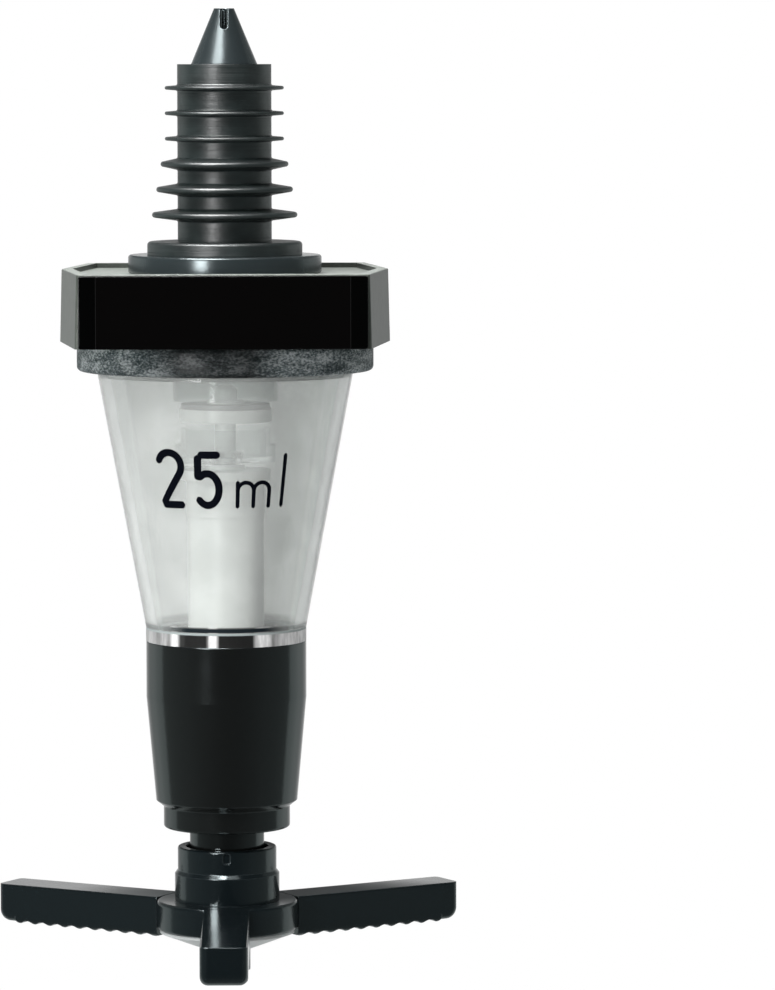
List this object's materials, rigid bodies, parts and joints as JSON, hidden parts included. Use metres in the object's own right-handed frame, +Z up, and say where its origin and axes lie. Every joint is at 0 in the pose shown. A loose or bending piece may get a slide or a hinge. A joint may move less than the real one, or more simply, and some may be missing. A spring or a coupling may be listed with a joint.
{
  "type": "liquor optic dispenser",
  "caption": "Spirit measure with a finned bottle cork, a label head, a clear conical measuring chamber, a black body and a sprung push bar with arms that a glass lifts.",
  "frame": {"origin": "on the centre axis, level with the top rim of the label housing, inside the height of the collar disc", "axes": "+Z up along the centre axis towards the bottle; the label plate faces -Y; the longest arm of the push bar points along -Y"},
  "size_m": [0.0778, 0.0756, 0.1604],
  "materials": {
    "black_plastic": "gloss black moulded plastic",
    "plate_gloss": "deep gloss black plate",
    "cork_rubber": "matt dark grey rubber",
    "seal_rubber": "satin black rubber",
    "clear_plastic": "clear moulded plastic",
    "white_plastic": "white moulded plastic",
    "natural_plastic": "translucent natural plastic",
    "steel": "drawn stainless wire"
  },
  "bodies": {
    "optic_body": {"bottle_cork": "cork_rubber", "inlet_stem": "black_plastic", "air_tube": "steel", "label_housing": "clear_plastic", "label_plate": "plate_gloss", "chamber_lid": "clear_plastic", "lid_o_ring": "seal_rubber", "inlet_cage": "clear_plastic", "chamber": "clear_plastic", "chamber_seal": "seal_rubber", "gland": "black_plastic", "upper_gland_seal": "seal_rubber", "lower_gland_seal": "seal_rubber", "lower_body": "black_plastic", "guide_sleeve": "black_plastic", "return_spring": "steel"},
    "push_bar_slide": {"push_bar": "black_plastic", "slide_collar": "black_plastic", "nozzle": "natural_plastic", "nozzle_seal": "seal_rubber", "valve_column": "white_plastic", "column_cap": "white_plastic", "splash_cup": "clear_plastic", "cup_clip": "steel", "valve_rod": "white_plastic", "seal_carrier": "white_plastic", "inlet_seal": "seal_rubber", "rod_nut": "white_plastic"}
  },
  "joints": [
    {"name": "push_bar_lift", "type": "slide", "parent": "optic_body", "child": "push_bar_slide", "axis": [0, 0, 1], "range_m": [0, 0.007], "stiffness_N_per_m": 400, "springref_m": -0.005, "deforming": ["return_spring"]}
  ]
}
